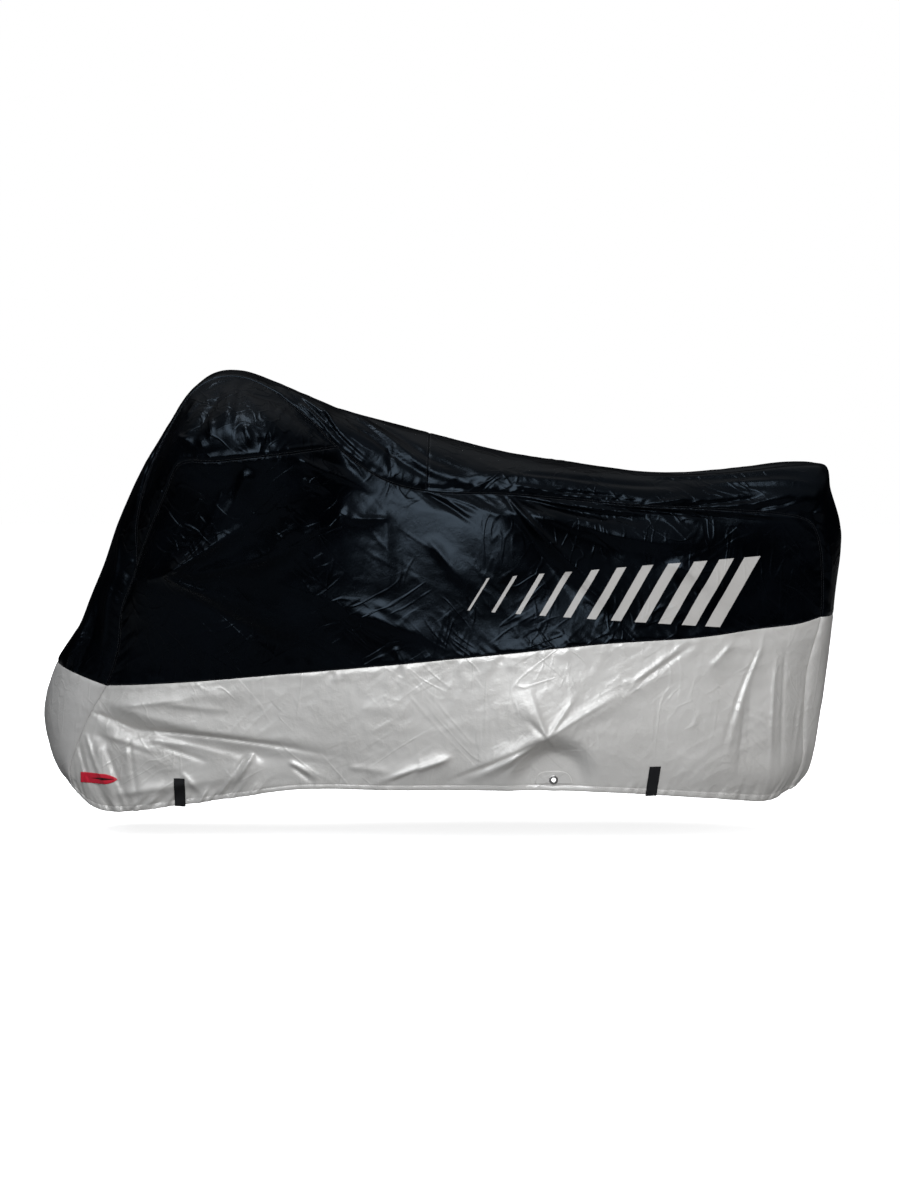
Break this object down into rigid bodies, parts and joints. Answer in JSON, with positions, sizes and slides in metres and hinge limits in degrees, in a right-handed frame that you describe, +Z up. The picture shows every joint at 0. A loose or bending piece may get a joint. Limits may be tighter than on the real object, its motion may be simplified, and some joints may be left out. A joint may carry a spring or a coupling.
{
  "type": "motorcycle cover",
  "caption": "Fitted two-colour cloth cover hanging over a hidden motorcycle, with a raised handlebar hump, gathered hem, webbing straps and eyelets.",
  "frame": {"origin": "the place under the cloth at the lowest point of the seat, on the centre plane, where the machine inside holds the cover up", "axes": "+Z up, +X from the nose to the tail, +Y to the right side of the machine; the picture looks along +Y at the left side"},
  "size_m": [2.0369, 0.7343, 1.1037],
  "materials": {
    "black_cloth": "black coated polyester, slightly glossy, finely crumpled",
    "silver_cloth": "silver coated polyester with a soft metallic sheen",
    "webbing": "black woven webbing, matt",
    "red_marker": "red reflective-type cloth patch, satin",
    "eyelet_metal": "pressed nickel-plated metal, softly shiny"
  },
  "bodies": {
    "root": {"nose_lower": "silver_cloth", "strip_front": "black_cloth", "strip_rear": "black_cloth", "tail_lower": "silver_cloth", "side_upper_left": "black_cloth", "side_upper_right": "black_cloth", "side_lower_left": "silver_cloth", "side_lower_right": "silver_cloth", "gusset_left": "black_cloth", "gusset_right": "black_cloth", "strap_front_left": "webbing", "strap_front_right": "webbing", "strap_rear_left": "webbing", "strap_rear_right": "webbing", "marker_left": "red_marker", "marker_right": "red_marker", "eyelet_patch_left": "silver_cloth", "eyelet_patch_right": "silver_cloth", "eyelet_left": "eyelet_metal", "eyelet_right": "eyelet_metal"}
  },
  "joints": []
}
